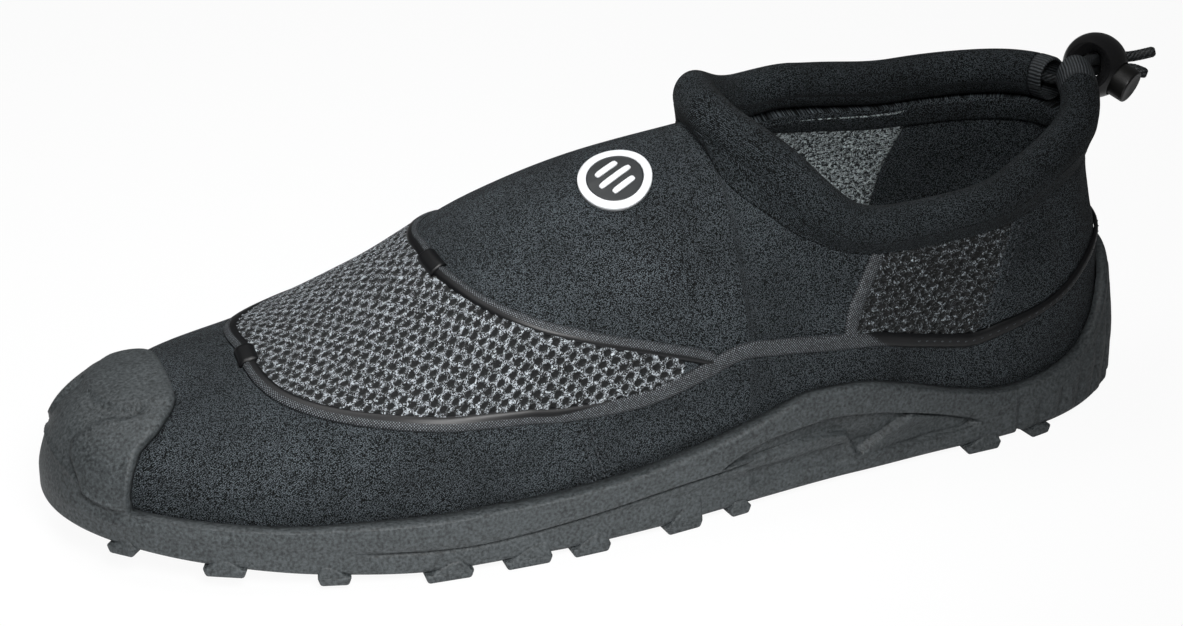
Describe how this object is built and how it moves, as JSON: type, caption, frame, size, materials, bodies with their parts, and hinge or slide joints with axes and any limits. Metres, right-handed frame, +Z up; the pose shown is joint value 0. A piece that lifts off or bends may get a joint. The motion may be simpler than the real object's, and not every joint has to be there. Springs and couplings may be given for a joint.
{
  "type": "water shoe",
  "caption": "Slip-on water shoe for the left foot: lugged rubber sole with toe cap, stretch mesh upper, drawcord collar with a ball lock.",
  "frame": {"origin": "centre of the shoe's outline on the ground plane", "axes": "+X towards the heel, +Y towards the inner (medial) side, +Z up"},
  "size_m": [0.3089, 0.1004, 0.1],
  "materials": {
    "moulded_rubber": "satin, fine grain",
    "stretch_fabric": "matt knit",
    "insole_foam": "matt",
    "jersey_tunnel": "matt knit",
    "ribbon": "ribbed",
    "woven_tape": "woven",
    "soft_badge": "satin",
    "gloss_ball": "gloss",
    "matt_button": "semi-matt",
    "elastic_cord": "braided"
  },
  "bodies": {
    "root": {"sole": "moulded_rubber", "upper": "stretch_fabric", "insole": "insole_foam", "collar_tunnel": "jersey_tunnel", "mouth_binding_lateral": "ribbon", "mouth_binding_medial": "ribbon", "piping_low": "woven_tape", "piping_instep": "woven_tape", "piping_quarter_lateral": "woven_tape", "piping_quarter_medial": "woven_tape", "badge": "soft_badge", "lock_ball": "gloss_ball", "cord_end_lateral": "elastic_cord", "cord_end_medial": "elastic_cord"},
    "lock_plunger": {"lock_plunger": "matt_button"}
  },
  "joints": [
    {"name": "plunger_press", "type": "slide", "parent": "root", "child": "lock_plunger", "axis": [-0.5373, 0.7829, 0.3137], "range_m": [0, 0.0028], "stiffness_N_per_m": 600}
  ]
}
